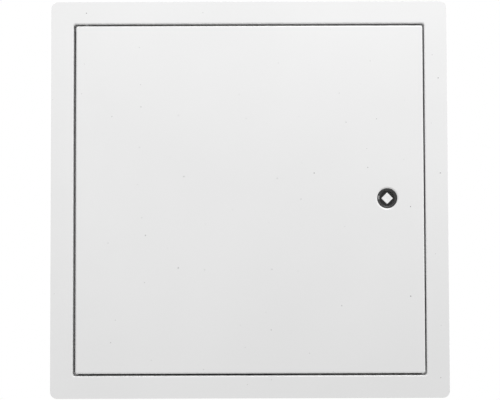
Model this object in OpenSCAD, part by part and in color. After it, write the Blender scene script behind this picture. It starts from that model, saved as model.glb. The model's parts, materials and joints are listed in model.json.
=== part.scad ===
// Flush steel access panel for a ceiling or wall: a flanged frame, and a sheet steel door that swings on
// two pivot pins and closes with a square-key quarter-turn lock. All sizes are millimetres.
// The panel stands upright: X to the right, Z up, Y into the void behind it. The origin is the middle of
// the opening, in the plane of the flange's back face, which bears on the finished surface.
// Each piece is drawn face on, with x to the right, y up and z towards the viewer, and then stood up.

/* [Frame] */
// Overall width of the flange
frame_w = 340; // [280:1:640]
// Overall height of the flange
frame_h = 340; // [300:1:640]
// Width of flange that shows on each side of the opening
flange_w = 19.2; // [16:0.1:40]
// Radius of the flange's outer corners
flange_corner_r = 6; // [1:0.5:12]
// Thickness of the frame's sheet
frame_t = 1; // [0.8:0.1:1.4]
// Inside radius of the sheet bends
bend_r = 0.3; // [0.2:0.1:0.5]
// Depth of the collar behind the flange
collar_depth = 40; // [38:1:80]
// Radius of the opening's corners
opening_corner_r = 2; // [1.8:0.1:5]
// Diameter of the fixing holes through the collar
fixing_hole_d = 5; // [4:0.5:6]
// Distance from the opening's corners to the fixing holes, along each wall
fixing_inset = 60.8; // [30:0.1:90]
// Distance from a fixing hole's centre to the collar's rear edge
fixing_edge = 5; // [4:0.5:6]

/* [Door stop and seal] */
// Thickness of the stop angles' sheet
stop_t = 1; // [0.8:0.1:1.5]
// How far the stop lip reaches into the opening
stop_lip_w = 12; // [11:0.5:16]
// Depth of the stop angle's riveted leg
stop_leg = 11; // [10:0.5:12]
// Width of the foam seal
seal_w = 9; // [5:0.5:10]
// Thickness of the foam seal with the door shut
seal_t = 2.2; // [1.5:0.1:3]
// Gap between the collar and the seal's edge
seal_inset = 0.4; // [0.3:0.1:0.6]

/* [Fixing lugs and rivets] */
// Width of a fixing lug
lug_w = 15; // [13:0.5:16]
// Thickness of a fixing lug
lug_t = 1.5; // [1:0.1:2]
// Length of the lug's riveted seat
lug_seat = 28; // [26:1:36]
// Length of the lug's free tail
lug_tail = 42; // [30:1:50]
// Angle by which the tail stands off the collar
lug_kick = 7; // [3:0.5:9]
// Distance from the opening's corners to the lugs' tails, along the wall
lug_inset = 40; // [20:1:60]
// Diameter of the rivets
rivet_d = 4; // [3.2:0.2:4.8]
// Diameter of the rivets' heads
rivet_head_d = 8; // [7:0.5:9]
// Distance between the two rivets of a lug
rivet_pitch = 14; // [12:1:16]

/* [Door] */
// Gap between door and frame on the hinge side
gap_hinge = 2; // [1.6:0.1:2.5]
// Gap between door and frame on the lock side
gap_lock = 1.3; // [1:0.1:2.5]
// Gap between door and frame at the top and the bottom
gap_end = 1.7; // [1:0.1:2.2]
// Thickness of the door's sheet
door_t = 1.2; // [0.8:0.1:1.4]
// Depth of the door's folded edges
door_depth = 16; // [15.6:0.1:18]
// Outside radius of the door's corners
door_corner_r = 1.8; // [1.6:0.1:3]

/* [Hinge] */
// Distance from the door's hinge edge to the pivot axis
hinge_backset = 9; // [8.6:0.1:9.4]
// Distance from the door's front to the pivot axis
hinge_depth = 6; // [5.7:0.1:6.2]
// Diameter of the pivot pins
pin_d = 4; // [3:0.2:4.2]
// Height of the drawn rim around the frame's pivot holes
pivot_rim_h = 2; // [1.5:0.1:3]
// How far the sprung pin pulls back to release the door from the frame
pin_travel = 6; // [5:0.5:8]
// Distance from the door's top edge to the pin's guide bracket
guide_drop = 34; // [30:1:50]
// Length of the sprung pin's finger lever
lever_length = 15; // [10:1:25]
// Wire diameter of the pin's spring
spring_wire_d = 0.8; // [0.5:0.1:0.9]
// Turns of the pin's spring
spring_turns = 8; // [6:1:10]

/* [Lock] */
// Distance from the door's lock edge to the lock's axis
lock_backset = 31.5; // [28:0.5:45]
// Height of the lock's axis above the panel's middle
lock_rise = 0; // [-60:1:60]
// Diameter of the lock's round body, whose end shows in the door
lock_body_d = 17; // [16:0.5:20]
// Depth to which the door's sheet is dished around the lock
dish_depth = 0.5; // [0.2:0.1:0.8]
// Width of the dished ring
dish_w = 1.3; // [0.8:0.1:2]
// Width of the sloping ring around the key cup
cup_slope_w = 1.6; // [0.8:0.1:2]
// Depth of the sloping ring around the key cup
cup_slope_depth = 1.2; // [0.6:0.1:2]
// Depth of the key cup
cup_depth = 4.4; // [3:0.1:6]
// Distance across the flats of the key square
key_square = 7; // [6.5:0.1:8]
// Width of the lock's mounting plate
lock_plate_w = 24; // [23:0.5:28]
// Height of the lock's mounting plate
lock_plate_h = 46; // [42:1:60]
// Thickness of the lock's mounting plate
lock_plate_t = 3; // [2:0.5:4]
// Diameter of the welded studs that hold the lock
stud_d = 4; // [3:0.5:4]
// Length of the welded studs behind the door's sheet
stud_length = 10; // [9:0.5:14]
// Distance across the flats of the stud nuts
stud_nut_af = 7; // [7:0.5:8]
// Width of the cam
cam_w = 14; // [12:1:15]
// Thickness of the cam
cam_t = 2.5; // [2:0.1:3]
// How far the cam's tip reaches behind the stop lip
cam_grip = 7.5; // [5:0.5:8.5]

/* [Clearances] */
// Radial clearance of pins, rivets and bolts in their holes
pin_clear = 0.05; // [0.03:0.01:0.08]
// Gap between faces that move past each other
run_gap = 0.3; // [0.25:0.05:0.4]
// Gap between pieces that are clamped together
seat_gap = 0.05; // [0.02:0.01:0.1]
// Radial gap between the lock's body and the hole in the door
lock_hole_gap = 0.15; // [0.1:0.05:0.4]

/* [Hidden] */
$fn = 64;
// Helper gap for cuts that have to pass right through
cut = 1;

white_paint = "#e9e9e8";
galvanised = "#a9adb0";
zinc_plate = "#c9ccd0";
black_lock = "#2f3031";
black_foam = "#26272a";
black_nylon = "#2b2b2c";

// Opening, door and hinge
opening_w = frame_w - 2 * flange_w;
opening_h = frame_h - 2 * flange_w;
frame_bend = bend_r + frame_t;
door_bend = bend_r + door_t;
door_w = opening_w - gap_hinge - gap_lock;
door_h = opening_h - 2 * gap_end;
door_x = (gap_hinge - gap_lock) / 2;
door_left = door_x - door_w / 2;
door_right = door_x + door_w / 2;
door_front = frame_t;
door_back = door_front - door_t;
door_rear = door_front - door_depth;
hinge_x = door_left + hinge_backset;
hinge_z = door_front - hinge_depth;
pin_r = pin_d / 2;
pin_hole_r = pin_r + pin_clear;
// The folded edge on the hinge side is lower, so that it turns inside the seal
swing_r = hinge_z - door_rear - pin_clear;
hinge_edge_rear = hinge_z - sqrt(pow(swing_r, 2) - pow(hinge_backset, 2));

// Depths behind the flange's back face
seal_front = run_gap - door_rear;
lip_front = seal_front + seal_t;
lip_rear = lip_front + stop_t;
rivet_depth = lip_front + (stop_leg + stop_t + bend_r) / 2;
fixing_depth = collar_depth - fixing_edge;
corner_clear = opening_corner_r + run_gap;

// Rivets
rivet_r = rivet_d / 2;
rivet_hole_r = rivet_r + pin_clear;
rivet_head_h = 0.3 * rivet_d;
rivet_bulb_r = 0.75 * rivet_d;
rivet_bulb_h = 0.6 * rivet_d;
rivet_edge = (lug_seat - rivet_pitch) / 2;
lug_start = opening_h / 2 - lug_inset - lug_tail - lug_seat;

// Pivot pins: heights in the panel's face; the pulled pin's tip sinks below the door's edge
pin_tip_sink = 1.5;
pin_tip_y = door_h / 2 + pin_travel - pin_tip_sink;
pivot_rim_wall = 0.8;
guide_t = 1.2;
guide_y = door_h / 2 - guide_drop;
guide_foot = 14;
guide_margin = 2;
guide_reach = hinge_depth - door_t + pin_d + guide_margin;
guide_side = 5;
guide_inner = 8;
lever_bend_r = pin_d;
clip_t = 0.8;
clip_r = 2.1 * pin_r;
groove_r = 0.82 * pin_r;
clip_drop = 4.3;
clip_y = door_h / 2 - door_t - clip_drop - clip_t;
spring_r = pin_r + pin_clear + spring_wire_d;
washer_t = gap_end - 2 * seat_gap;
washer_r = 2.2 * pin_r;
pin_head_r = 2 * pin_r;
pin_head_h = 1.6;

// Lock: depths along its axis, towards the viewer
lock_x = door_right - lock_backset;
lock_r = lock_body_d / 2;
lock_hole_r = lock_r + lock_hole_gap;
dish_r = lock_hole_r + dish_w;
lock_face = door_front - dish_depth - seat_gap;
lock_rim = 0.6;
cup_draft = 0.2;
slope_r = lock_r - lock_rim;
cup_r = slope_r - cup_slope_w;
cup_floor = lock_face - cup_depth;
plate_front = door_back - seat_gap;
plate_back = plate_front - lock_plate_t;
plate_corner_r = 5;
stud_r = stud_d / 2;
stud_edge = 6;
stud_y = lock_plate_h / 2 - stud_edge;
stud_end = door_back - stud_length;
tooth_washer_t = 0.6;
tooth_washer_r = 0.58 * stud_nut_af;
tooth_count = 10;
stud_nut_h = 0.8 * stud_d;
key_sink = 0.5;
spindle_step = 0.1;
journal_r = key_square / 2 - spindle_step;
shank_af = 1.4 * journal_r;
tail_r = shank_af / 2 - spindle_step;
tail_over = 1.5;
stop_washer_t = 1.3;
stop_washer_r = 0.6 * lock_r;
lobe_r = 0.85 * lock_r;
lobe_arc = 60;
turn = 90;
stop_slack = 2;
cam_hub_margin = 1;
cam_hub_r = cam_w / 2 + cam_hub_margin;
cam_length = lock_backset + gap_lock - stop_lip_w + cam_grip;
cam_front = -lip_rear - run_gap;
cam_back = cam_front - cam_t;
lock_tail = cam_front + stop_washer_t + 2 * seat_gap;
cam_washer_t = 1.1;
cam_washer_r = 1.9 * tail_r;
cam_nut_af = 8;
cam_nut_h = 4;

// The four walls of the collar, by their angle from the lock side
lock_side_angle = 0;
top_angle = 90;
hinge_side_angle = 180;
bottom_angle = 270;
side_angles = [lock_side_angle, hinge_side_angle];
end_angles = [top_angle, bottom_angle];

function is_side(angle) = angle % 180 == 0;
function wall_distance(angle) = (is_side(angle) ? opening_w : opening_h) / 2;
function wall_half_length(angle) = (is_side(angle) ? opening_h : opening_w) / 2;

// Stands a piece that was drawn face on upright
module upright() {
    rotate([90, 0, 0]) children();
}

// Puts a piece on a collar wall: x is the depth behind the flange, y runs along the wall, z points outwards
module on_wall(angle) {
    rotate([0, 0, angle])
        translate([wall_distance(angle), 0, 0])
        rotate([0, 90, 0])
        children();
}

// Puts a piece on the pivot axis, with its z pointing up the panel
module on_pivot(y) {
    translate([hinge_x, y, hinge_z]) rotate([-90, 0, 0]) children();
}

// Puts a piece on the lock's axis
module on_lock() {
    translate([lock_x, lock_rise, 0]) children();
}

// Flat plate with round corners, its back on z = 0
module rounded_plate(w, h, r, t) {
    translate([r - w / 2, -h / 2, 0]) cube([w - 2 * r, h, t]);
    for (side = [-w / 2, w / 2 - r]) {
        translate([side, r - h / 2, 0]) cube([r, h - 2 * r, t]);
    }
    for (quarter = [0 : 3]) {
        across = quarter % 2 == 0 ? w : h;
        along = quarter % 2 == 0 ? h : w;
        rotate([0, 0, 90 * quarter])
            translate([across / 2 - r, along / 2 - r, 0])
            rotate_extrude(angle = 90)
            square([r, t]);
    }
}

// Sweeps a profile around a rectangle with round corners; the profile's x starts at the corners' centres
module rim(w, h, r) {
    for (quarter = [0 : 3]) {
        across = quarter % 2 == 0 ? w / 2 - r : h / 2 - r;
        along = quarter % 2 == 0 ? h / 2 - r : w / 2 - r;
        rotate([0, 0, 90 * quarter]) translate([across, along, 0]) {
            rotate([90, 0, 0]) linear_extrude(2 * along) children();
            rotate_extrude(angle = 90) children();
        }
    }
}

// Quarter ring of bent sheet around the origin, in the quadrant x > 0, y > 0
module bend_profile(t) {
    intersection() {
        difference() {
            circle(r = bend_r + t);
            circle(r = bend_r);
        }
        square(bend_r + t);
    }
}

// Section of an angle of bent sheet, its outer corner at the origin and its legs along +x and +y
module angle_profile(x_leg, y_leg, t) {
    outer = bend_r + t;
    translate([outer, 0]) square([x_leg - outer, t]);
    translate([0, outer]) square([t, y_leg - outer]);
    translate([outer, outer]) rotate(180) bend_profile(t);
}

// Hexagon that measures af across its flats
module hexagon(af) {
    circle(d = af / cos(30), $fn = 6);
}

// Section of the collar with the bend that leads into the flange
module collar_profile() {
    translate([opening_corner_r, -collar_depth])
        square([frame_t, collar_depth + frame_t - frame_bend]);
    translate([opening_corner_r + frame_bend, frame_t - frame_bend])
        rotate(90)
        bend_profile(frame_t);
}

// Flange and collar in one piece of folded sheet, with drawn pivot holes at the hinge side
module surround_frame() {
    color(white_paint) upright() difference() {
        union() {
            difference() {
                rounded_plate(frame_w, frame_h, flange_corner_r, frame_t);
                translate([0, 0, -cut])
                    rounded_plate(
                        opening_w + 2 * frame_bend,
                        opening_h + 2 * frame_bend,
                        opening_corner_r + frame_bend,
                        frame_t + 2 * cut
                    );
            }
            rim(opening_w, opening_h, opening_corner_r) collar_profile();
            for (end = [0, 180]) {
                translate([hinge_x, 0, hinge_z])
                    rotate([end - 90, 0, 0])
                    translate([0, 0, opening_h / 2 + frame_t / 2])
                    cylinder(r = pin_hole_r + pivot_rim_wall, h = frame_t / 2 + pivot_rim_h);
            }
        }
        on_pivot(-frame_h / 2) cylinder(r = pin_hole_r, h = frame_h);
        fixing_holes();
        for (angle = side_angles) {
            on_wall(angle) lug_rivet_places() rivet_hole();
        }
        for (angle = end_angles) {
            on_wall(angle) stop_rivet_places() rivet_hole();
        }
    }
}

// Two screw holes through each wall of the collar
module fixing_holes() {
    for (angle = concat(side_angles, end_angles)) {
        for (end = [-1, 1]) {
            on_wall(angle)
                translate([fixing_depth, end * (wall_half_length(angle) - fixing_inset), -cut])
                cylinder(d = fixing_hole_d, h = frame_t + 2 * cut);
        }
    }
}

// The two rivets of each of a wall's two lugs
module lug_rivet_places() {
    for (half = [0, 1]) {
        for (place = [0, rivet_pitch]) {
            mirror([0, half, 0])
                translate([rivet_depth, lug_start + rivet_edge + place, 0])
                children();
        }
    }
}

// The three rivets that hold the top or the bottom stop angle
module stop_rivet_places() {
    for (place = [-1 : 1]) {
        translate([rivet_depth, place * (opening_w / 2 - fixing_inset), 0]) children();
    }
}

module rivet_hole() {
    translate([0, 0, -stop_t - cut]) cylinder(r = rivet_hole_r, h = stop_t + frame_t + lug_t + 2 * cut);
}

// Blind rivet: a low domed head outside a grip of the given thickness, and a bulb inside the stop angle
module blind_rivet(outer) {
    translate([0, 0, outer + seat_gap]) {
        rotate_extrude() intersection() {
            translate([0, rivet_head_h - dome_r(rivet_head_d / 2, rivet_head_h)])
                circle(r = dome_r(rivet_head_d / 2, rivet_head_h));
            square([rivet_head_d / 2, rivet_head_h]);
        }
    }
    translate([0, 0, -stop_t - seat_gap - rivet_bulb_h])
        cylinder(r1 = 0.8 * rivet_bulb_r, r2 = rivet_bulb_r, h = rivet_bulb_h);
    translate([0, 0, -stop_t - seat_gap]) cylinder(r = rivet_r, h = stop_t + outer + 2 * seat_gap);
}

// Radius of a dome that is as wide as its base circle and has the given height
function dome_r(base_r, h) = (pow(base_r, 2) + pow(h, 2)) / (2 * h);

module lug_rivets() {
    color(galvanised) upright() {
        for (angle = side_angles) {
            on_wall(angle) lug_rivet_places() blind_rivet(frame_t + lug_t);
        }
    }
}

module stop_rivets() {
    color(galvanised) upright() {
        for (angle = end_angles) {
            on_wall(angle) stop_rivet_places() blind_rivet(frame_t);
        }
    }
}

// Angle riveted inside the collar: its lip carries the seal, and the lock's cam grips behind it
module stop_angle(angle) {
    half = wall_half_length(angle);
    color(white_paint) upright() on_wall(angle) difference() {
        intersection() {
            translate([lip_front, 0, 0])
                rotate([90, 0, 0])
                linear_extrude(2 * (half - corner_clear), center = true)
                mirror([0, 1])
                angle_profile(stop_leg, stop_lip_w, stop_t);
            rotate([0, 90, 0]) linear_extrude(collar_depth) mitre_outline(half);
        }
        if (is_side(angle)) {
            lug_rivet_places() rivet_hole();
        } else {
            stop_rivet_places() rivet_hole();
        }
    }
}

// Plan of a stop angle seen along its depth: x runs outwards, and both ends of the lip are mitred
module mitre_outline(half) {
    trimmed = half - corner_clear;
    lip_end = half - stop_lip_w - run_gap / 2;
    polygon([
        [0, -trimmed], [0, trimmed],
        [corner_clear - run_gap / 2, trimmed], [stop_lip_w, lip_end],
        [stop_lip_w, -lip_end], [corner_clear - run_gap / 2, -trimmed],
    ]);
}

module stop_angle_lock_side() { stop_angle(lock_side_angle); }
module stop_angle_top() { stop_angle(top_angle); }
module stop_angle_hinge_side() { stop_angle(hinge_side_angle); }
module stop_angle_bottom() { stop_angle(bottom_angle); }

// Foam strip on the front of a stop lip; the side strips butt against the end strips
module seal(angle) {
    end_gap = is_side(angle) ? seal_inset + seal_w + run_gap : corner_clear;
    half = wall_half_length(angle) - end_gap;
    color(black_foam) upright() on_wall(angle)
        translate([seal_front, -half, -seal_inset - seal_w])
        cube([seal_t, 2 * half, seal_w]);
}

module seal_lock_side() { seal(lock_side_angle); }
module seal_top() { seal(top_angle); }
module seal_hinge_side() { seal(hinge_side_angle); }
module seal_bottom() { seal(bottom_angle); }

// Strap that is bent out on site and plastered or screwed in, with a fishtail end
module fixing_lug(angle, half) {
    notch_w = 0.6 * lug_w;
    notch_depth = 0.5 * lug_w;
    color(galvanised) upright() on_wall(angle) difference() {
        mirror([0, half, 0]) translate([rivet_depth - lug_w / 2, lug_start, frame_t]) {
            cube([lug_w, lug_seat, lug_t]);
            translate([0, lug_seat, 0]) rotate([lug_kick, 0, 0]) difference() {
                cube([lug_w, lug_tail, lug_t]);
                translate([lug_w / 2, lug_tail, -cut]) linear_extrude(lug_t + 2 * cut) polygon([
                    [-notch_w / 2, cut], [0, -notch_depth], [notch_w / 2, cut],
                ]);
            }
        }
        lug_rivet_places() rivet_hole();
    }
}

module fixing_lug_right_upper() { fixing_lug(lock_side_angle, 0); }
module fixing_lug_right_lower() { fixing_lug(lock_side_angle, 1); }
module fixing_lug_left_upper() { fixing_lug(hinge_side_angle, 1); }
module fixing_lug_left_lower() { fixing_lug(hinge_side_angle, 0); }

// Section of the door's folded edge with the bend that leads into its face
module fold_profile() {
    translate([door_corner_r - door_t, door_rear]) square([door_t, door_front - door_bend - door_rear]);
    translate([door_corner_r - door_bend, door_front - door_bend]) bend_profile(door_t);
}

// Sheet steel pan with a dished hole and welded studs for the lock, and a lower edge on the hinge side
module door_leaf() {
    color(white_paint) upright() difference() {
        union() {
            difference() {
                translate([door_x, 0, door_back])
                    rounded_plate(
                        door_w - 2 * door_bend,
                        door_h - 2 * door_bend,
                        door_corner_r - door_bend,
                        door_t
                    );
                on_lock() translate([0, 0, door_back - cut])
                    cylinder(r = dish_r, h = door_t + 2 * cut);
            }
            translate([door_x, 0, 0]) rim(door_w, door_h, door_corner_r) fold_profile();
            on_lock() {
                rotate_extrude() dish_profile();
                stud_places() translate([0, 0, stud_end]) cylinder(r = stud_r, h = stud_length + door_t / 2);
            }
        }
        hinge_edge_trim();
        on_pivot(-door_h / 2 - cut) cylinder(r = pin_hole_r, h = door_h + 2 * cut);
    }
}

// Half section of the sheet around the lock: it is dished in on a shallow cone, down to the hole
module dish_profile() {
    step = door_t * tan(atan(dish_depth / dish_w) / 2);
    polygon([
        [lock_hole_r, door_front - dish_depth], [dish_r, door_front], [dish_r, door_back],
        [dish_r - step, door_back], [lock_hole_r, door_back - dish_depth * (dish_w - step) / dish_w],
    ]);
}

// The two welded studs above and below the lock
module stud_places() {
    for (place = [-stud_y, stud_y]) {
        translate([0, place, 0]) children();
    }
}

// Hole that a welded stud passes through
module stud_hole(h) {
    translate([0, 0, -cut]) cylinder(r = stud_r + pin_clear, h = h + 2 * cut);
}

// What is cut off the folded edges on the hinge side, so that they turn inside the seal
module hinge_edge_trim() {
    rotate([90, 0, 0]) linear_extrude(door_h + 2 * cut, center = true) polygon([
        [hinge_x, door_rear - cut], [hinge_x, door_rear], [door_left, hinge_edge_rear],
        [door_left - cut, hinge_edge_rear], [door_left - cut, door_rear - cut],
    ]);
}

// Bent bracket on the door's back that guides the sprung pin and carries its spring
module pin_guide_bracket() {
    color(white_paint) upright() difference() {
        translate([hinge_x - guide_side, guide_y, door_back])
            rotate([90, 0, 90])
            linear_extrude(guide_side + guide_inner)
            rotate(180)
            angle_profile(guide_foot, guide_reach, guide_t);
        on_pivot(guide_y - guide_t - cut) cylinder(r = pin_hole_r, h = guide_t + 2 * cut);
    }
}

// Fixed pin at the foot of the door, headed inside the folded edge
module lower_hinge_pin() {
    head = -door_h / 2 + door_t + seat_gap;
    color(zinc_plate) upright() {
        on_pivot(head) cylinder(r = pin_head_r, h = pin_head_h);
        on_pivot(-pin_tip_y) cylinder(r1 = 0.7 * pin_r, r2 = pin_r, h = pin_r / 2);
        on_pivot(-pin_tip_y + pin_r / 2) cylinder(r = pin_r, h = pin_tip_y - pin_r / 2 + head);
    }
}

// Washer that carries the door's weight on the bottom of the collar
module thrust_washer() {
    color(black_nylon) upright() on_pivot(-door_h / 2 - seat_gap - washer_t) difference() {
        cylinder(r = washer_r, h = washer_t);
        translate([0, 0, -cut]) cylinder(r = pin_hole_r, h = washer_t + 2 * cut);
    }
}

// Sprung pin at the head of the door: a round bar bent into a finger lever, with a groove for its clip
module upper_hinge_pin() {
    bend_y = guide_y - guide_t - run_gap;
    color(zinc_plate) upright() {
        difference() {
            union() {
                on_pivot(bend_y) cylinder(r = pin_r, h = pin_tip_y - bend_y - pin_r / 2);
                on_pivot(pin_tip_y - pin_r / 2) cylinder(r1 = pin_r, r2 = 0.7 * pin_r, h = pin_r / 2);
            }
            on_pivot(clip_y - seat_gap) difference() {
                cylinder(r = 2 * pin_r, h = clip_t + 2 * seat_gap);
                cylinder(r = groove_r, h = clip_t + 2 * seat_gap);
            }
        }
        translate([hinge_x + lever_bend_r, bend_y, hinge_z])
            rotate([0, 0, 180])
            rotate_extrude(angle = 90)
            translate([lever_bend_r, 0])
            circle(r = pin_r);
        translate([hinge_x + lever_bend_r, bend_y - lever_bend_r, hinge_z])
            rotate([0, 90, 0])
            cylinder(r = pin_r, h = lever_length - lever_bend_r);
    }
}

// Open clip in the pin's groove that the spring pushes against
module pin_clip() {
    color(zinc_plate) upright() on_pivot(clip_y) difference() {
        cylinder(r = clip_r, h = clip_t);
        translate([0, 0, -cut]) cylinder(r = groove_r + pin_clear, h = clip_t + 2 * cut);
        translate([0, -groove_r, -cut]) cube([2 * clip_r, 2 * groove_r, clip_t + 2 * cut]);
    }
}

// Rise of the spring's wire after some turns: one closed turn at each end, even pitch between them
function coil_rise(turns, length) =
    let (
        closed = spring_wire_d + seat_gap,
        open = (length - spring_wire_d - 2 * closed) / (spring_turns - 2),
        lower = min(turns, 1),
        middle = min(max(turns - 1, 0), spring_turns - 2),
        upper = max(turns - spring_turns + 1, 0)
    )
    spring_wire_d / 2 + closed * (lower + upper) + open * middle;

// Compression spring between the guide bracket and the clip
module pin_spring() {
    steps = 16;
    wire_sides = 8;
    rings = spring_turns * steps;
    length = clip_y - guide_y - 2 * seat_gap;
    points = [
        for (ring = [0 : rings], side = [0 : wire_sides - 1])
        let (
            angle = 360 * ring / steps,
            around = 360 * side / wire_sides,
            radius = spring_r + spring_wire_d / 2 * cos(around),
            height = coil_rise(ring / steps, length) + spring_wire_d / 2 * sin(around)
        )
        [radius * cos(angle), radius * sin(angle), height]
    ];
    faces = [
        for (ring = [0 : rings - 1], side = [0 : wire_sides - 1])
        let (
            next = (side + 1) % wire_sides,
            here = ring * wire_sides,
            there = here + wire_sides
        )
        [here + side, there + side, there + next, here + next]
    ];
    start_cap = [[for (side = [0 : wire_sides - 1]) side]];
    end_cap = [[for (side = [wire_sides - 1 : -1 : 0]) rings * wire_sides + side]];
    color(zinc_plate) upright() on_pivot(guide_y + seat_gap)
        polyhedron(points, concat(faces, start_cap, end_cap));
}

// Lock body: a round barrel with a key cup, a plate that seats on the studs and a stop for the quarter turn
module lock_housing() {
    stop_start = 90 + lobe_arc / 2 + turn + stop_slack;
    stop_arc = 360 - lobe_arc - turn - 2 * stop_slack;
    color(black_lock) upright() on_lock() difference() {
        union() {
            rotate_extrude() barrel_profile();
            translate([0, 0, plate_back]) difference() {
                rounded_plate(lock_plate_w, lock_plate_h, plate_corner_r, lock_plate_t);
                stud_places() stud_hole(lock_plate_t);
                translate([0, 0, lock_plate_t - dish_depth - seat_gap])
                    cylinder(r = dish_r + seat_gap, h = lock_plate_t);
            }
            rotate([0, 0, stop_start])
                rotate_extrude(angle = stop_arc)
                translate([stop_washer_r + run_gap, lock_tail - stop_washer_t])
                square([lobe_r - stop_washer_r - run_gap, stop_washer_t]);
        }
        rotate_extrude() key_cup_profile();
    }
}

// Half section of the lock's barrel, solid, with a broken front edge
module barrel_profile() {
    edge = 0.3;
    polygon([
        [0, lock_tail], [lock_r, lock_tail], [lock_r, lock_face - edge],
        [lock_r - edge, lock_face], [0, lock_face],
    ]);
}

// Half section of the key cup with its sloping ring, and of the bore for the spindle's journal
module key_cup_profile() {
    bore_r = journal_r + pin_clear;
    over = cut * cup_slope_w / cup_slope_depth;
    polygon([
        [0, lock_face + cut], [slope_r + over, lock_face + cut], [cup_r, lock_face - cup_slope_depth],
        [cup_r - cup_draft, cup_floor], [bore_r, cup_floor], [bore_r, lock_tail - cut], [0, lock_tail - cut],
    ]);
}

// Toothed washer on each of the welded studs, under its nut
module lock_tooth_washer() {
    tooth_gap = 0.7;
    color(zinc_plate) upright() on_lock() stud_places()
        translate([0, 0, plate_back - seat_gap - tooth_washer_t]) difference() {
            cylinder(r = tooth_washer_r, h = tooth_washer_t);
            stud_hole(tooth_washer_t);
            for (tooth = [1 : tooth_count]) {
                rotate([0, 0, 360 * tooth / tooth_count])
                    translate([tooth_washer_r - tooth_gap, -tooth_gap / 2, -cut])
                    cube([2 * tooth_gap, tooth_gap, tooth_washer_t + 2 * cut]);
            }
        }
}

// Hexagon nut with chamfered corners, its front face on z = 0 and its bore along z
module hex_nut(af, bore_r, h) {
    corner_r = af / 2 / cos(30);
    chamfer = corner_r - af / 2;
    difference() {
        intersection() {
            translate([0, 0, -h]) linear_extrude(h) hexagon(af);
            rotate_extrude() polygon([
                [0, 0], [af / 2, 0], [corner_r, -chamfer],
                [corner_r, chamfer - h], [af / 2, -h], [0, -h],
            ]);
        }
        translate([0, 0, -h - cut]) cylinder(r = bore_r, h = h + 2 * cut);
    }
}

// Nut on each of the welded studs
module lock_nut() {
    color(zinc_plate) upright() on_lock() stud_places()
        translate([0, 0, plate_back - tooth_washer_t - 2 * seat_gap])
        hex_nut(stud_nut_af, stud_r + pin_clear, stud_nut_h);
}

// Turning spindle: key square in the cup, round journal, square shank for the cam and a threaded tail
module lock_spindle() {
    key_top = lock_face - key_sink;
    key_foot = cup_floor + seat_gap;
    shank_end = cam_back + 2 * seat_gap;
    tail_end = cam_back - cam_washer_t - cam_nut_h - tail_over;
    color(zinc_plate) upright() on_lock() {
        rotate([0, 0, 45]) translate([-key_square / 2, -key_square / 2, key_foot])
            cube([key_square, key_square, key_top - key_foot]);
        translate([0, 0, lock_tail]) cylinder(r = journal_r, h = key_foot - lock_tail);
        translate([-shank_af / 2, -shank_af / 2, shank_end])
            cube([shank_af, shank_af, lock_tail - shank_end]);
        translate([0, 0, tail_end]) cylinder(r = tail_r, h = shank_end - tail_end);
    }
}

// Square hole that seats on the spindle's shank
module shank_hole(h) {
    af = shank_af + 2 * seat_gap;
    translate([-af / 2, -af / 2, -cut]) cube([af, af, h + 2 * cut]);
}

// Washer that turns with the cam: its lobe meets the lock body's stop at each end of the quarter turn
module stop_washer() {
    color(zinc_plate) upright() on_lock() translate([0, 0, cam_front + seat_gap]) difference() {
        union() {
            cylinder(r = stop_washer_r, h = stop_washer_t);
            rotate([0, 0, 90 - lobe_arc / 2])
                rotate_extrude(angle = lobe_arc)
                square([lobe_r, stop_washer_t]);
        }
        shank_hole(stop_washer_t);
    }
}

// Flat cam that hangs down when the lock is open and grips behind the stop lip after a quarter turn
module lock_cam() {
    tip = 3;
    color(zinc_plate) upright() on_lock() translate([0, 0, cam_back]) difference() {
        linear_extrude(cam_t) union() {
            circle(r = cam_hub_r);
            polygon([
                [-cam_w / 2, 0], [-cam_w / 2, tip - cam_length], [tip - cam_w / 2, -cam_length],
                [cam_w / 2 - tip, -cam_length], [cam_w / 2, tip - cam_length], [cam_w / 2, 0],
            ]);
        }
        shank_hole(cam_t);
    }
}

// Split spring washer under the cam's nut
module cam_spring_washer() {
    split = 0.8;
    color(zinc_plate) upright() on_lock() translate([0, 0, cam_back - seat_gap - cam_washer_t]) difference() {
        cylinder(r = cam_washer_r, h = cam_washer_t);
        translate([0, 0, -cut]) cylinder(r = tail_r + pin_clear, h = cam_washer_t + 2 * cut);
        translate([0, -split / 2, -cut]) cube([2 * cam_washer_r, split, cam_washer_t + 2 * cut]);
    }
}

module cam_nut() {
    color(zinc_plate) upright() on_lock()
        translate([0, 0, cam_back - cam_washer_t - 2 * seat_gap])
        hex_nut(cam_nut_af, tail_r + pin_clear, cam_nut_h);
}

surround_frame();
stop_angle_lock_side();
stop_angle_top();
stop_angle_hinge_side();
stop_angle_bottom();
seal_lock_side();
seal_top();
seal_hinge_side();
seal_bottom();
fixing_lug_right_upper();
fixing_lug_right_lower();
fixing_lug_left_upper();
fixing_lug_left_lower();
lug_rivets();
stop_rivets();
door_leaf();
pin_guide_bracket();
lower_hinge_pin();
thrust_washer();
upper_hinge_pin();
pin_clip();
pin_spring();
lock_housing();
lock_tooth_washer();
lock_nut();
lock_spindle();
stop_washer();
lock_cam();
cam_spring_washer();
cam_nut();
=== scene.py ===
import json
import math

import bmesh
import bpy
from mathutils import Matrix, Vector, noise


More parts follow.
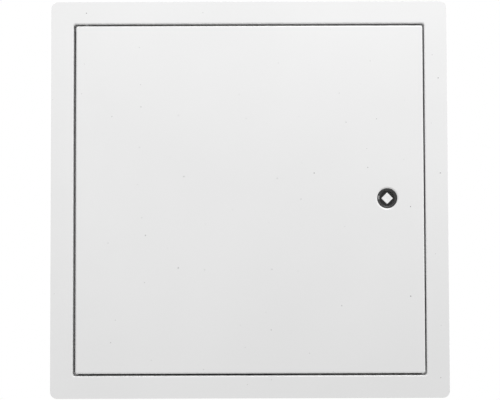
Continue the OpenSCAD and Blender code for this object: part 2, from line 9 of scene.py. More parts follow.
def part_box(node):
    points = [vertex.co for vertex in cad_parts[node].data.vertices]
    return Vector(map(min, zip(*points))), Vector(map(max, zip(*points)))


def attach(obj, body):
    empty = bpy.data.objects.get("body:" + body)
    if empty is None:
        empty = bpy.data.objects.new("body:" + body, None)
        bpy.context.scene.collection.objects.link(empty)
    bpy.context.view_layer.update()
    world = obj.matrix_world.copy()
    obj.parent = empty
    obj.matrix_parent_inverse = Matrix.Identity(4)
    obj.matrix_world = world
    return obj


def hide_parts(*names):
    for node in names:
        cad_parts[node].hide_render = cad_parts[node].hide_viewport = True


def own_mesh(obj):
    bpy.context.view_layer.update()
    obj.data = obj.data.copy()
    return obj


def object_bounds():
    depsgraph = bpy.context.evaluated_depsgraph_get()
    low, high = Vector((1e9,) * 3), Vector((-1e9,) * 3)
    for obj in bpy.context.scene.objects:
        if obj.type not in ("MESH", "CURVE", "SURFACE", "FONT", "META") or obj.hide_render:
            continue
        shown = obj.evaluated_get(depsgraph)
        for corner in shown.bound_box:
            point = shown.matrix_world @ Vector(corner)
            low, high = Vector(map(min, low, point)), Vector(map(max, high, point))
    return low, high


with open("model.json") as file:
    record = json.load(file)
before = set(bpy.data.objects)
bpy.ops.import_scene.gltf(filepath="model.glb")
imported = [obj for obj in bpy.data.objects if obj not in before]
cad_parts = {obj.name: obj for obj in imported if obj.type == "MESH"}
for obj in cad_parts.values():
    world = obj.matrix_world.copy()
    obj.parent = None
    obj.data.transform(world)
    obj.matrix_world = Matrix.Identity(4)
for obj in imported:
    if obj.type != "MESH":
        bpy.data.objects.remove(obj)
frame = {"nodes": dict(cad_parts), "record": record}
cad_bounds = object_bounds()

MM = 0.001
SAME_POINT = 0.001 * MM
WHITE = (1.0, 1.0, 1.0, 1.0)
INTO_VOID = Vector((0.0, 1.0, 0.0))
NODES = frame["nodes"]
SCENE = bpy.context.scene


# Node graph helpers

# The values between which most of a noise lies
NOISE_RANGE = (0.3, 0.7)


class Graph:
    """The nodes of a new material or world; plain values are set on the nodes' own sockets."""

    def __init__(self, owner, shader):
        owner.use_nodes = True
        self.owner = owner
        self.tree = owner.node_tree
        self.shader = self.tree.nodes[shader]

    def put(self, socket, value):
        """Links another node's output to a socket, or sets a plain value on it."""
        if isinstance(value, bpy.types.NodeSocket):
            self.tree.links.new(value, socket)
        else:
            socket.default_value = value

    def fill(self, node, sockets):
        """Sets sockets by their names, with an underscore for each space."""
        for key, value in sockets.items():
            self.put(node.inputs[key.replace("_", " ")], value)

    def add(self, kind, **sockets):
        """A new node with some of its sockets set."""
        node = self.tree.nodes.new(kind)
        self.fill(node, sockets)
        return node

    def surface(self, **sockets):
        """Sets sockets of the shader itself."""
        self.fill(self.shader, sockets)

    def coords(self):
        """Place on the piece, in metres in the CAD frame."""
        return self.add("ShaderNodeTexCoord").outputs["Object"]

    def axes(self, vector):
        return self.add("ShaderNodeSeparateXYZ", Vector=vector).outputs

    def noise(self, vector, scale, detail=3.0, roughness=0.5):
        return self.add(
            "ShaderNodeTexNoise", Vector=vector, Scale=scale, Detail=detail, Roughness=roughness
        ).outputs["Fac"]

    def cells(self, vector, scale):
        return self.add("ShaderNodeTexVoronoi", Vector=vector, Scale=scale)

    def chances(self, cells):
        """Numbers from 0 to 1 that differ from cell to cell."""
        return self.add("ShaderNodeSeparateColor", Color=cells.outputs["Color"]).outputs

    def spread(self, value, low, high, to_low, to_high):
        """Maps one range of values to another."""
        return self.add(
            "ShaderNodeMapRange",
            Value=value, From_Min=low, From_Max=high, To_Min=to_low, To_Max=to_high,
        ).outputs["Result"]

    def vary(self, value, to_low, to_high):
        """Maps the usual range of a noise to another range."""
        return self.spread(value, *NOISE_RANGE, to_low, to_high)

    def mix(self, factor, first, second):
        """Mixes two colours."""
        node = self.tree.nodes.new("ShaderNodeMix")
        node.data_type = "RGBA"
        in_use = [socket for socket in node.inputs if socket.enabled]
        for socket, value in zip(in_use, (factor, first, second)):
            self.put(socket, value)
        return next(socket for socket in node.outputs if socket.enabled)

    def math(self, operation, first, second=0.0):
        node = self.tree.nodes.new("ShaderNodeMath")
        node.operation = operation
        for socket, value in zip(node.inputs, (first, second)):
            self.put(socket, value)
        return node.outputs["Value"]

    def stretched(self, vector, scale):
        return self.add("ShaderNodeMapping", Vector=vector, Scale=scale).outputs["Vector"]

    def bump(self, height, distance, strength):
        return self.add(
            "ShaderNodeBump", Height=height, Distance=distance, Strength=strength
        ).outputs["Normal"]


def material_graph(name):
    return Graph(bpy.data.materials.new(name), "Principled BSDF")


def grey(level, warm=0.0):
    """A grey with a little more red than blue, or less where warm is negative."""
    return (level * (1 + warm), level, level * (1 - warm), 1.0)


# Materials

# One speck to a cell, where the cell's draw allows it; sizes are in cells
SPECK_CELLS_PER_METRE = 36.0
SPECK_SIZE = (0.010, 0.023)
SPECK_RAGGED = (-0.007, 0.003)
SPECK_FADE = 0.006
SPECK_DRAW = (0.4, 0.9)
SPECK_COVER = 0.95
SPECK_FACING = (0.9, 0.95)

# Length of the spindle's key square, which the key rubs pale
KEY_LENGTH = 3.85 * MM


def dust_specks(g, at):
    """Sparse dark specks of differing size on the faces that look to the front or the back."""
    axes = g.axes(at)
    face = g.add("ShaderNodeCombineXYZ", X=axes["X"], Y=axes["Z"]).outputs["Vector"]
    cells = g.cells(face, SPECK_CELLS_PER_METRE)
    cells.voronoi_dimensions = "2D"
    draws = g.chances(cells)
    size = g.spread(draws["Green"], 0.0, 1.0, *SPECK_SIZE)
    ragged = g.vary(g.noise(at, scale=2400.0, detail=2.0), *SPECK_RAGGED)
    nearness = g.math("SUBTRACT", g.math("ADD", size, ragged), cells.outputs["Distance"])
    speck = g.spread(nearness, 0.0, SPECK_FADE, 0.0, 1.0)
    cover = g.spread(draws["Red"], *SPECK_DRAW, 0.0, SPECK_COVER)
    normal = g.add("ShaderNodeTexCoord").outputs["Normal"]
    facing_out = g.spread(g.math("ABSOLUTE", g.axes(normal)["Y"]), *SPECK_FACING, 0.0, 1.0)
    return g.math("MULTIPLY", g.math("MULTIPLY", speck, cover), facing_out)


def white_coat():
    """Satin powder coat: orange peel, slow tone changes and dust specks."""
    g = material_graph("white_coat")
    at = g.coords()
    slow = g.vary(g.noise(at, scale=9.0, detail=2.0), 0.0, 1.0)
    tone = g.mix(slow, grey(0.805), grey(0.825))
    colour = g.mix(dust_specks(g, at), tone, grey(0.14, warm=0.03))
    peel = g.noise(at, scale=900.0, detail=2.0, roughness=0.45)
    fine = g.noise(at, scale=3200.0, detail=1.0)
    fine_share = 0.2
    height = g.math(
        "ADD", g.math("MULTIPLY", peel, 1.0 - fine_share), g.math("MULTIPLY", fine, fine_share)
    )
    gloss = g.vary(g.noise(at, scale=60.0), 0.29, 0.36)
    skin = g.bump(height, distance=0.03 * MM, strength=0.5)
    g.surface(Base_Color=colour, Roughness=gloss, Normal=skin, Specular_IOR_Level=0.45)
    return g.owner


def plated_steel(name, rubbed_depth=None):
    """Bright zinc plate: cloudy passivation and fine drawing marks; rubbed pale down to a depth."""
    g = material_graph(name)
    at = g.coords()
    cloud = g.vary(g.noise(at, scale=140.0, detail=4.0, roughness=0.6), 0.0, 1.0)
    colour = g.mix(cloud, grey(0.63, warm=-0.012), grey(0.70, warm=-0.012))
    metal = 1.0
    if rubbed_depth is not None:
        rubbed = g.spread(g.axes(at)["Y"], rubbed_depth, rubbed_depth + MM, 1.0, 0.0)
        colour = g.mix(rubbed, colour, g.mix(cloud, grey(0.88), grey(0.98)))
        metal = g.spread(rubbed, 0.0, 1.0, 1.0, 0.2)
    marks = g.noise(g.stretched(at, (900.0, 900.0, 14000.0)), scale=1.0, detail=2.0)
    gloss = g.spread(g.math("MULTIPLY", cloud, marks), 0.1, 0.6, 0.24, 0.38)
    skin = g.bump(marks, distance=0.01 * MM, strength=0.4)
    g.surface(Base_Color=colour, Roughness=gloss, Normal=skin, Metallic=metal)
    return g.owner


def galvanised():
    """Hot-dip zinc with spangle: flat crystals, each with its own tone."""
    g = material_graph("galvanised_steel")
    at = g.coords()
    shade = g.chances(g.cells(at, scale=340.0))["Red"]
    colour = g.mix(shade, grey(0.53, warm=-0.02), grey(0.62, warm=-0.015))
    gloss = g.spread(shade, 0.0, 1.0, 0.42, 0.54)
    skin = g.bump(g.noise(at, scale=2500.0, detail=2.0), distance=0.01 * MM, strength=0.5)
    g.surface(Base_Color=colour, Roughness=gloss, Normal=skin, Metallic=1.0)
    return g.owner


def rivet_aluminium():
    """Plain drawn aluminium with small setting marks."""
    g = material_graph("rivet_aluminium")
    marks = g.noise(g.coords(), scale=1500.0, roughness=0.6)
    colour = g.mix(marks, grey(0.62), grey(0.76))
    gloss = g.vary(marks, 0.32, 0.5)
    skin = g.bump(marks, distance=0.03 * MM, strength=0.5)
    g.surface(Base_Color=colour, Roughness=gloss, Normal=skin, Metallic=1.0)
    return g.owner


def black_lock():
    """Satin black coat on a zinc casting, a little rubbed."""
    g = material_graph("black_lock")
    at = g.coords()
    rub = g.spread(g.noise(at, scale=420.0, detail=4.0, roughness=0.6), 0.35, 0.7, 0.0, 1.0)
    colour = g.mix(rub, grey(0.036), grey(0.052))
    gloss = g.spread(rub, 0.0, 1.0, 0.25, 0.33)
    skin = g.bump(g.noise(at, scale=2600.0, detail=2.0), distance=0.03 * MM, strength=0.5)
    g.surface(Base_Color=colour, Roughness=gloss, Normal=skin)
    return g.owner


def seal_foam():
    """Closed-cell foam: fine open skin and soft dents."""
    g = material_graph("seal_foam")
    at = g.coords()
    pores = g.cells(at, scale=1700.0).outputs["Distance"]
    dents = g.noise(at, scale=160.0, detail=2.0)
    colour = g.mix(pores, grey(0.012), grey(0.028))
    gloss = g.vary(dents, 0.85, 0.95)
    skin = g.bump(g.math("ADD", pores, dents), distance=0.2 * MM, strength=0.7)
    g.surface(Base_Color=colour, Roughness=gloss, Normal=skin)
    return g.owner


def washer_plastic():
    """Black nylon, moulded: satin, with faint flow marks."""
    g = material_graph("washer_plastic")
    flow = g.noise(g.coords(), scale=300.0)
    colour = g.mix(flow, grey(0.030), grey(0.048))
    gloss = g.vary(flow, 0.4, 0.55)
    skin = g.bump(flow, distance=0.03 * MM, strength=0.4)
    g.surface(Base_Color=colour, Roughness=gloss, Normal=skin)
    return g.owner


MATERIALS = {
    "white_coat": white_coat(),
    "seal_foam": seal_foam(),
    "galvanised_steel": galvanised(),
    "rivet_aluminium": rivet_aluminium(),
    "zinc_plate": plated_steel("zinc_plate"),
    "bright_zinc": plated_steel("bright_zinc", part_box("lock_spindle")[0].y + KEY_LENGTH),
    "black_lock": black_lock(),
    "washer_plastic": washer_plastic(),
}


def dress_cad_nodes():
    """Gives each CAD node the finish of its slot in the record."""
    for part in frame["record"]["subparts"]:
        node = NODES[part["node"]]
        node.data.materials.clear()
        node.data.materials.append(MATERIALS[part["material_slot"]])


dress_cad_nodes()


# Mesh helpers

REVOLVE_STEPS = 32
SHARP_ANGLE = math.radians(32)

# Screw ridge: steps to a turn, depth in the core, half widths in pitches, and rise in heights a turn
THREAD_STEPS = 24
THREAD_BURY = 0.05 * MM
THREAD_FOOT = 0.45
THREAD_TOP = 0.08
THREAD_RISE = 6.0


def in_mm(*profile):
    """A profile of radius and height that is given in millimetres."""
    return [(radius * MM, height * MM) for radius, height in profile]


def circle(radius, height, steps):
    """A ring of points round the local z axis."""
    turn = 2 * math.pi / steps
    return [
        (radius * math.cos(turn * step), radius * math.sin(turn * step), height) for step in range(steps)
    ]


def at_angle(section, angle):
    """A section of radius and height, put at an angle round the local z axis."""
    return [(radius * math.cos(angle), radius * math.sin(angle), height) for radius, height in section]


def flat_ring(inner_r, outer_r, half_t, shift=0.0):
    """Section of a flat ring: its four corners."""
    return (
        (inner_r, shift - half_t), (outer_r, shift - half_t),
        (outer_r, shift + half_t), (inner_r, shift + half_t),
    )


def cut_square(side, corner, height):
    """A square ring round the local z axis with its corners cut off, corner along each side."""
    half = side / 2
    near = half - corner
    return [
        (half, -near, height), (half, near, height), (near, half, height), (-near, half, height),
        (-half, near, height), (-half, -near, height), (-near, -half, height), (near, -half, height),
    ]


class Shape:
    """Closed skins of a piece under construction, in metres."""

    def __init__(self):
        self.points = []
        self.faces = []

    def skin(self, rings, place=Matrix(), looped=False):
        """Joins rings that have equally many points; the last ring meets the first or both get a cap."""
        first = len(self.points)
        count = len(rings[0])
        for ring in rings:
            self.points.extend(place @ Vector(point) for point in ring)
        for row in range(len(rings) if looped else len(rings) - 1):
            here = first + row * count
            there = first + (row + 1) % len(rings) * count
            for side in range(count):
                other = (side + 1) % count
                self.faces.append((here + side, here + other, there + other, there + side))
        if not looped:
            last = first + (len(rings) - 1) * count
            self.faces.append(tuple(reversed(range(first, first + count))))
            self.faces.append(tuple(range(last, last + count)))

    def revolve(self, profile, place):
        """Turns a profile of radius and height round the local z axis."""
        self.skin([circle(radius, height, REVOLVE_STEPS) for radius, height in profile], place)

    def thread(self, place, root, crest, pitch, start, end):
        """A screw ridge round the local z axis, which runs out at both ends."""
        turns = (end - start) / pitch - 1.0
        steps = round(turns * THREAD_STEPS)
        foot, top = THREAD_FOOT * pitch, THREAD_TOP * pitch
        rings = []
        for step in range(steps + 1):
            share = step / steps
            run_out = min(1.0, THREAD_RISE * turns * share, THREAD_RISE * turns * (1.0 - share))
            ridge = root + (crest - root) * run_out
            height = start + pitch * (0.5 + turns * share)
            section = (
                (root - THREAD_BURY, height - foot), (ridge, height - top),
                (ridge, height + top), (root - THREAD_BURY, height + foot),
            )
            rings.append(at_angle(section, 2 * math.pi * turns * share))
        self.skin(rings, place)


def facing(origin, direction):
    """A place whose z axis points in the direction."""
    turn = Vector(direction).to_track_quat("Z", "Y").to_matrix().to_4x4()
    return Matrix.Translation(origin) @ turn


def front_of(low, high):
    """A place in the middle of a box's front, whose z axis points into the void."""
    middle = (low + high) / 2
    return facing(Vector((middle.x, low.y, middle.z)), INTO_VOID)


def corners(points):
    """Lowest and highest corner of the box round some points."""
    low = Vector([min(point[axis] for point in points) for axis in range(3)])
    high = Vector([max(point[axis] for point in points) for axis in range(3)])
    return low, high


def solids_of(node):
    """Lowest and highest corner of each separate solid of a CAD node."""
    mesh = bmesh.new()
    mesh.from_mesh(NODES[node].data)
    bmesh.ops.remove_doubles(mesh, verts=mesh.verts, dist=SAME_POINT)
    boxes = []
    for start in mesh.verts:
        if start.tag:
            continue
        start.tag = True
        open_ends = [start]
        found = []
        while open_ends:
            vert = open_ends.pop()
            found.append(vert.co.copy())
            for edge in vert.link_edges:
                other = edge.other_vert(vert)
                if not other.tag:
                    other.tag = True
                    open_ends.append(other)
        boxes.append(corners(found))
    mesh.free()
    return boxes


def reach(node, middle, radius):
    """How deep a CAD node goes behind the flange within a radius of a line through middle along Y."""
    return max(
        vert.co.y for vert in NODES[node].data.vertices
        if math.hypot(vert.co.x - middle.x, vert.co.z - middle.z) <= radius
    )


def piece(name, shape, body, slot, stands_for=()):
    """Makes an object of a shape, which rides on a body and may stand for CAD nodes."""
    mesh = bpy.data.meshes.new(name)
    mesh.from_pydata(shape.points, [], shape.faces)
    faces_out = bmesh.new()
    faces_out.from_mesh(mesh)
    bmesh.ops.recalc_face_normals(faces_out, faces=faces_out.faces)
    faces_out.to_mesh(mesh)
    faces_out.free()
    mesh.shade_smooth()
    mesh.set_sharp_from_angle(angle=SHARP_ANGLE)
    mesh.materials.append(MATERIALS[slot])
    thing = bpy.data.objects.new(name, mesh)
    SCENE.collection.objects.link(thing)
    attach(thing, body)
    if stands_for:
        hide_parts(*stands_for)
    return thing


# Rivets

RIVET_SHANK_R = 2.0 * MM
RIVET_HEAD_H = 1.2 * MM
RIVET_EDGE_IN = 0.1 * MM
RIVET_EDGE_UP = 0.08 * MM
RIVET_DOME_STEPS = 7
RIVET_DOME_END_R = 1.288 * MM

# Mandrel ball and set bulb, upwards from the blind end
RIVET_BULB = in_mm(
    (0.02, 0.0), (0.8, 0.06), (1.3, 0.3), (1.5, 0.65), (1.55, 0.72),
    (2.1, 0.75), (2.65, 1.0), (2.94, 1.45), (3.0, 1.9), (2.91, 2.4),
)

# Sunken stub of the mandrel, downwards from the top of the head
RIVET_STUB = in_mm((1.15, 0.1), (1.15, 0.75), (0.9, 0.75), (0.86, 0.5), (0.4, 0.4), (0.02, 0.46))


def rivet_profile(length, head_r):
    """Blind rivet from its blind end: mandrel ball, set bulb, shank, domed head and sunken mandrel stub."""
    face = length - RIVET_HEAD_H
    dome_r = (head_r ** 2 + RIVET_HEAD_H ** 2) / (2 * RIVET_HEAD_H)
    head = [
        (RIVET_SHANK_R, RIVET_BULB[-1][1]), (RIVET_SHANK_R, face),
        (head_r - RIVET_EDGE_IN, face), (head_r, face + RIVET_EDGE_UP),
    ]
    for step in range(1, RIVET_DOME_STEPS + 1):
        radius = head_r + (RIVET_DOME_END_R - head_r) * step / RIVET_DOME_STEPS
        head.append((radius, length - dome_r + math.sqrt(dome_r ** 2 - radius ** 2)))
    return RIVET_BULB + head + [(radius, length - depth) for radius, depth in RIVET_STUB]


def blind_rivets(node):
    """The rivets of a CAD node, their heads on the outside of the frame."""
    shape = Shape()
    for low, high in solids_of(node):
        middle = (low + high) / 2
        axis = 0 if abs(middle.x) > abs(middle.z) else 2
        outward = Vector()
        outward[axis] = math.copysign(1.0, middle[axis])
        blind_end = middle.copy()
        blind_end[axis] = low[axis] if outward[axis] > 0 else high[axis]
        head_r = (high.y - low.y) / 2
        shape.revolve(rivet_profile(high[axis] - low[axis], head_r), facing(blind_end, outward))
    piece(node + "_set", shape, "frame", "rivet_aluminium", [node])


# Seals

FOAM_ROUND = 0.55 * MM
FOAM_DENT_AT = 1.9 * MM
FOAM_DENT_W = 0.75 * MM
FOAM_DENT = 0.35 * MM
FOAM_STATION = 5.0 * MM
FOAM_UNEVEN = 0.08 * MM

# How fast the unevenness changes along the strip, across it and from strip to strip, in waves a metre
FOAM_WAVES = (60.0, 300.0, 1000.0)

# Points across the strip, closer together at its edges and at the dent
FOAM_SHARES = (
    0.0, 0.012, 0.035, 0.07, 0.11, 0.15, 0.18, 0.21, 0.24, 0.28, 0.34, 0.45,
    0.6, 0.75, 0.88, 0.93, 0.965, 0.988, 1.0,
)


def foam_height(inset, width, thick, along):
    """Front of the foam across its width: round edges, the dent of the door's edge and an uneven skin."""
    edge = min(inset, width - inset, FOAM_ROUND)
    rounding = FOAM_ROUND - math.sqrt(FOAM_ROUND ** 2 - (FOAM_ROUND - edge) ** 2)
    dent = FOAM_DENT * math.exp(-((inset - FOAM_DENT_AT) / FOAM_DENT_W) ** 2)
    waves = Vector([value * rate for value, rate in zip((along, inset, thick), FOAM_WAVES)])
    return thick - rounding - dent + FOAM_UNEVEN * noise.noise(waves)


def foam_strip(node):
    """Strip of foam tape on the stop's lip, in the place of its plain CAD solid."""
    low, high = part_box(node)
    along, across = (0, 2) if high.x - low.x > high.z - low.z else (2, 0)
    outward = math.copysign(1.0, low[across] + high[across])
    outer_edge = high[across] if outward > 0 else low[across]
    width = high[across] - low[across]
    thick = high.y - low.y
    insets = [width * share for share in FOAM_SHARES]
    length = high[along] - low[along]
    stations = round(length / FOAM_STATION)
    rings = []
    for station in range(stations + 1):
        at = low[along] + length * station / stations
        front = [(inset, foam_height(inset, width, thick, at)) for inset in insets]
        ring = []
        for inset, height in [(0.0, 0.0)] + front + [(width, 0.0)]:
            point = Vector((0.0, high.y - height, 0.0))
            point[along] = at
            point[across] = outer_edge - outward * inset
            ring.append(point)
        rings.append(ring)
    shape = Shape()
    shape.skin(rings)
    piece(node + "_foam", shape, "frame", "seal_foam", [node])


# Spring of the upper hinge pin

SPRING_WIRE = 0.8 * MM
SPRING_TURNS = 8
SPRING_STEPS = 28
SPRING_CLOSED_PITCH = 1.04 * SPRING_WIRE
SPRING_GROUND = 0.15 * SPRING_WIRE
WIRE_SIDES = 10


def coil_height(turns, length):
    """Height of the wire's middle after some turns: one closed turn at each end, even pitch between."""
    pitch = (length - SPRING_WIRE - 2 * SPRING_CLOSED_PITCH) / (SPRING_TURNS - 2)
    ends = min(turns, 1.0) + max(turns - SPRING_TURNS + 1.0, 0.0)
    return SPRING_WIRE / 2 + SPRING_CLOSED_PITCH * ends + pitch * (turns - ends)


def coil_spring():
    """Wire spring with closed and ground ends."""
    low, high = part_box("pin_spring")
    length = high.z - low.z
    coil_r = (high.x - low.x - SPRING_WIRE) / 2
    wire = circle(SPRING_WIRE / 2, 0.0, WIRE_SIDES)
    rings = []
    for step in range(SPRING_TURNS * SPRING_STEPS + 1):
        middle = coil_height(step / SPRING_STEPS, length + 2 * SPRING_GROUND) - SPRING_GROUND
        section = [(coil_r + out, min(max(middle + up, 0.0), length)) for out, up, _ in wire]
        rings.append(at_angle(section, 2 * math.pi * step / SPRING_STEPS))
    foot = Vector(((low.x + high.x) / 2, (low.y + high.y) / 2, low.z))
    shape = Shape()
    shape.skin(rings, Matrix.Translation(foot))
    spring = piece("pin_spring_coil", shape, "door", "zinc_plate", ["pin_spring"])
    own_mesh(spring)


# Lock

# Radius at which the end face of a turned piece is closed
TIP_R = 0.1 * MM

STUD_ROOT_R = 2.01 * MM
STUD_CREST_R = 2.18 * MM
STUD_PITCH = 0.7 * MM
STUD_TIP_R = 1.7 * MM
STUD_CHAMFER = 0.35 * MM
STUD_PLAIN_END = 0.2 * MM
STUD_PROUD = 0.02 * MM

WASHER_INNER_R = 2.06 * MM
WASHER_RING_SHARE = 0.55
WASHER_HALF_T_SHARE = 0.36
WASHER_STEPS = 40
WASHER_TEETH = 10
TOOTH_HALF_W = 0.6 * MM
TOOTH_OVERLAP = 0.1 * MM
TOOTH_TWIST = 12.0

KEY_EDGE = 0.3 * MM
KEY_CORNER = 0.2 * MM
KEY_TURN = math.radians(45)
JOURNAL_R = 3.4 * MM
SHANK_SQUARE = 4.76 * MM
SHANK_CORNER = 0.25 * MM
SHANK_SHORT = 0.1 * MM
TAIL_R = 2.28 * MM
TAIL_ROOT_R = TAIL_R - 0.28 * MM
TAIL_PITCH = 0.8 * MM
TAIL_OVERLAP = 0.2 * MM
TAIL_CHAMFER = 0.4 * MM
TAIL_PLAIN_END = 0.1 * MM

SPLIT_PLAY = 0.05 * MM
SPLIT_HALF_T_SHARE = 0.42
SPLIT_LIFT_SHARE = 0.08
SPLIT_START = math.radians(10)
SPLIT_SWEEP = math.radians(340)
SPLIT_STEPS = 48


def stud_threads():
    """Bright threaded ends of the two welded studs, behind their nuts."""
    shape = Shape()
    for low, high in solids_of("lock_nut"):
        place = front_of(low, high)
        tip = reach("door_leaf", (low + high) / 2, STUD_CREST_R) + STUD_PROUD - low.y
        shape.revolve([
            (STUD_ROOT_R, 0.0), (STUD_ROOT_R, tip - STUD_CHAMFER), (STUD_TIP_R, tip), (TIP_R, tip),
        ], place)
        nut_h = high.y - low.y
        shape.thread(place, STUD_ROOT_R, STUD_CREST_R, STUD_PITCH, nut_h, tip - STUD_PLAIN_END)
    piece("stud_threads", shape, "door", "zinc_plate")


def toothed_washers():
    """Toothed lock washers on the studs, their teeth twisted out of the flat ring."""
    shape = Shape()
    for low, high in solids_of("lock_tooth_washer"):
        place = facing((low + high) / 2, INTO_VOID)
        outer_r = (high.x - low.x) / 2
        root_r = WASHER_INNER_R + WASHER_RING_SHARE * (outer_r - WASHER_INNER_R)
        half_t = WASHER_HALF_T_SHARE * (high.y - low.y)
        section = flat_ring(WASHER_INNER_R, root_r, half_t)
        turn = 2 * math.pi / WASHER_STEPS
        shape.skin([at_angle(section, turn * step) for step in range(WASHER_STEPS)], place, looped=True)
        for tooth in range(WASHER_TEETH):
            rings = []
            for share in (0.0, 0.5, 1.0):
                middle = Vector((root_r - TOOTH_OVERLAP + (outer_r - root_r) * share, 0.0, 0.0))
                twist = Matrix.Rotation(math.radians(TOOTH_TWIST * share), 4, "X")
                rings.append([
                    middle + twist @ Vector((0.0, w * TOOTH_HALF_W, z * half_t))
                    for w, z in ((-1, -1), (1, -1), (1, 1), (-1, 1))
                ])
            turned = Matrix.Rotation(2 * math.pi * tooth / WASHER_TEETH, 4, "Z")
            shape.skin(rings, place @ turned)
    piece("lock_washers_toothed", shape, "door", "zinc_plate", ["lock_tooth_washer"])


def spindle():
    """Turning spindle: key square with broken edges, journal, square shank and threaded tail."""
    low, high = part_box("lock_spindle")
    place = front_of(low, high)
    on_corner = place @ Matrix.Rotation(KEY_TURN, 4, "Z")
    side = (high.x - low.x) / math.sqrt(2)
    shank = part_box("stop_washer")[0].y - low.y
    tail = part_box("lock_cam")[1].y - low.y
    tip = high.y - low.y
    shape = Shape()
    shape.skin([
        cut_square(side - 2 * KEY_EDGE, KEY_CORNER, 0.0), cut_square(side, KEY_CORNER, KEY_EDGE),
        cut_square(side, KEY_CORNER, KEY_LENGTH),
    ], on_corner)
    shape.revolve([(JOURNAL_R, KEY_LENGTH), (JOURNAL_R, shank)], place)
    shape.skin([cut_square(SHANK_SQUARE, SHANK_CORNER, z) for z in (shank, tail - SHANK_SHORT)], place)
    shape.revolve([
        (TAIL_ROOT_R, tail - TAIL_OVERLAP), (TAIL_ROOT_R, tip - TAIL_CHAMFER),
        (TAIL_ROOT_R - TAIL_CHAMFER, tip), (TIP_R, tip),
    ], place)
    shape.thread(place, TAIL_ROOT_R, TAIL_R, TAIL_PITCH, tail, tip - TAIL_PLAIN_END)
    piece("lock_spindle_turned", shape, "lock_turner", "bright_zinc", ["lock_spindle"])


def split_washer():
    """Spring washer cut through and set, so that its two ends stand apart."""
    low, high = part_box("cam_spring_washer")
    inner_r, outer_r = TAIL_R + SPLIT_PLAY, (high.z - low.z) / 2
    thick = high.y - low.y
    rings = []
    for step in range(SPLIT_STEPS + 1):
        share = step / SPLIT_STEPS
        shift = SPLIT_LIFT_SHARE * thick * (2 * share - 1)
        section = flat_ring(inner_r, outer_r, SPLIT_HALF_T_SHARE * thick, shift)
        rings.append(at_angle(section, SPLIT_START + SPLIT_SWEEP * share))
    shape = Shape()
    shape.skin(rings, facing((low + high) / 2, INTO_VOID))
    piece("cam_washer_split", shape, "lock_turner", "zinc_plate", ["cam_spring_washer"])


# Spot welds

BRACKET_SHEET = 1.2 * MM
WELD_UP = 4.0 * MM
WELD_SHARES = (0.27, 0.73)
WELD_RING = in_mm(
    (2.3, -0.05), (2.2, 0.03), (1.95, 0.09), (1.7, 0.1), (1.45, 0.05), (1.2, 0.02), (0.1, 0.015),
)


def spot_welds():
    """Two spot-weld rings on the foot of the pin's guide bracket."""
    low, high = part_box("pin_guide_bracket")
    shape = Shape()
    for share in WELD_SHARES:
        middle = Vector((low.x + share * (high.x - low.x), low.y + BRACKET_SHEET, low.z + WELD_UP))
        shape.revolve(WELD_RING, facing(middle, INTO_VOID))
    piece("guide_spot_welds", shape, "door", "white_coat")


for rivet_node in ("lug_rivets", "stop_rivets"):
    blind_rivets(rivet_node)
for seal_node in ("seal_lock_side", "seal_top", "seal_hinge_side", "seal_bottom"):
    foam_strip(seal_node)
coil_spring()
stud_threads()
toothed_washers()
spindle()
split_washer()
spot_welds()


# Broken edges of the CAD pieces

SHEET_EDGE = 0.15 * MM
SHEET_PIECES = ("surround_frame", "stop_angle", "door_leaf", "fixing_lug", "pin_guide_bracket")
EDGE_RADIUS = {node: SHEET_EDGE for node in NODES if node.startswith(SHEET_PIECES)}
EDGE_RADIUS.update({
    "lock_housing": 0.25 * MM, "lock_cam": 0.3 * MM, "lock_nut": 0.12 * MM, "cam_nut": 0.12 * MM,
    "stop_washer": 0.12 * MM, "pin_clip": 0.08 * MM, "thrust_washer": 0.15 * MM,
    "lower_hinge_pin": 0.15 * MM, "upper_hinge_pin": 0.12 * MM,
})
EDGE_ANGLE = math.radians(40)
EDGE_SEGMENTS = 2
FLAT_ANGLE = math.radians(0.2)


def break_edges():
    """Small round edges, as cut and coated sheet, castings and turned pieces have."""
    for node, radius in EDGE_RADIUS.items():
        joined = NODES[node].modifiers.new("joined", "WELD")
        joined.merge_threshold = SAME_POINT
        flats = NODES[node].modifiers.new("flats", "DECIMATE")
        flats.decimate_type = "DISSOLVE"
        flats.angle_limit = FLAT_ANGLE
        edges = NODES[node].modifiers.new("edges", "BEVEL")
        edges.width = radius
        edges.segments = EDGE_SEGMENTS
        edges.limit_method = "ANGLE"
        edges.angle_limit = EDGE_ANGLE
        edges.use_clamp_overlap = False
        edges.harden_normals = True


break_edges()


# Stage, light and camera

FLOOR_DROP = 2.0
FLOOR_R = 10.0
FLOOR_SIDES = 96
FLOOR_FADE = (0.3 * FLOOR_R, 0.95 * FLOOR_R)
FLOOR_GLOW = 0.25

# Strength of the room's light, and of the backdrop that the camera sees
ROOM_LEVEL = 0.51
BACKDROP_LEVEL = 1.0

PANEL_MIDDLE = (0.0, 0.0, 0.0)
LOCK_MIDDLE = (0.118, 0.0, 0.0)

# Name, place, target, width and height, and watts of each area light
LIGHTS = (
    ("key", (0.25, -0.56, 0.9), PANEL_MIDDLE, (0.5, 0.3), 6.6),
    ("front_fill", (-0.7, -1.6, 0.1), PANEL_MIDDLE, (1.0, 1.0), 5.6),
    ("side", (1.2, -0.18, -0.05), LOCK_MIDDLE, (0.3, 0.3), 3.0),
    ("back_key", (-0.8, 0.9, 0.9), PANEL_MIDDLE, (0.6, 0.6), 9.0),
)

# The panel's width and the picture's width in the photograph, in pixels
PANEL_PX = 397.3
PHOTO_PX = 500
CAMERA_TARGET = Vector((0.0005, -0.001, -0.0012))
CAMERA_DISTANCE = 1.2
CAMERA_BELOW = math.radians(2.8)
CAMERA_ROLL = math.radians(-0.17)
SENSOR_WIDTH = 36.0


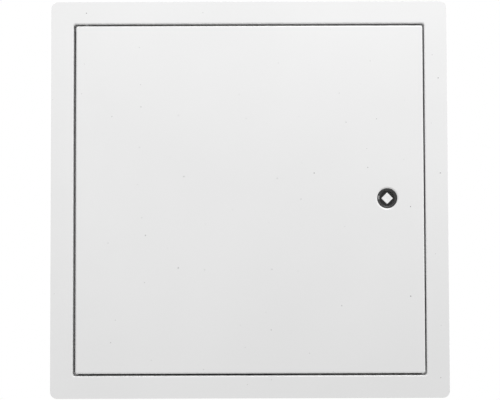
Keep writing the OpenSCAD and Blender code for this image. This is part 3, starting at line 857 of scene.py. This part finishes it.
def make_floor():
    """Pale round floor that fades out, so that no edge of it shows in any view."""
    mesh = bpy.data.meshes.new("floor")
    rim = circle(FLOOR_R, cad_bounds[0][2] - FLOOR_DROP, FLOOR_SIDES)
    mesh.from_pydata(rim, [], [tuple(range(FLOOR_SIDES))])
    floor = bpy.data.objects.new("floor", mesh)
    SCENE.collection.objects.link(floor)
    g = material_graph("floor_matt")
    at = g.coords()
    tone = g.mix(g.noise(at, scale=3.0), grey(0.50), grey(0.54))
    from_middle = g.add("ShaderNodeVectorMath", Vector=g.stretched(at, (1.0, 1.0, 0.0)))
    from_middle.operation = "LENGTH"
    fade = g.spread(from_middle.outputs["Value"], *FLOOR_FADE, 1.0, 0.0)
    g.surface(Base_Color=tone, Roughness=0.9, Alpha=fade)
    g.surface(Emission_Color=WHITE, Emission_Strength=FLOOR_GLOW)
    mesh.materials.append(g.owner)


def make_world():
    """Even grey room light; the camera sees it white, as behind the panel in the photograph."""
    g = Graph(bpy.data.worlds.new("studio"), "Background")
    seen = g.add("ShaderNodeLightPath").outputs["Is Camera Ray"]
    level = g.add("ShaderNodeMix", Factor=seen, A=ROOM_LEVEL, B=BACKDROP_LEVEL)
    g.surface(Color=WHITE, Strength=level.outputs["Result"])
    SCENE.world = g.owner


def area_light(name, place, target, size, power):
    """A soft rectangular light that the camera doesn't see."""
    data = bpy.data.lights.new(name, "AREA")
    data.shape = "RECTANGLE"
    data.size, data.size_y = size
    data.energy = power
    light = bpy.data.objects.new(name, data)
    light.location = place
    light.rotation_euler = (Vector(target) - Vector(place)).to_track_quat("-Z", "Y").to_euler()
    light.visible_camera = False
    SCENE.collection.objects.link(light)


def make_camera():
    """Camera almost square on, a little below the middle, as in the photograph."""
    width_seen = (cad_bounds[1][0] - cad_bounds[0][0]) / (PANEL_PX / PHOTO_PX)
    data = bpy.data.cameras.new("camera")
    data.sensor_width = SENSOR_WIDTH
    data.lens = SENSOR_WIDTH * CAMERA_DISTANCE / width_seen
    data.dof.use_dof = False
    camera = bpy.data.objects.new("camera", data)
    away = Vector((0.0, -math.cos(CAMERA_BELOW), -math.sin(CAMERA_BELOW)))
    place = CAMERA_TARGET + CAMERA_DISTANCE * away
    turn = (CAMERA_TARGET - place).to_track_quat("-Z", "Y").to_matrix().to_4x4()
    camera.matrix_world = Matrix.Translation(place) @ turn @ Matrix.Rotation(CAMERA_ROLL, 4, "Z")
    SCENE.collection.objects.link(camera)
    SCENE.camera = camera


make_floor()
make_world()
for light_facts in LIGHTS:
    area_light(*light_facts)
make_camera()
SCENE.view_settings.view_transform = "Standard"
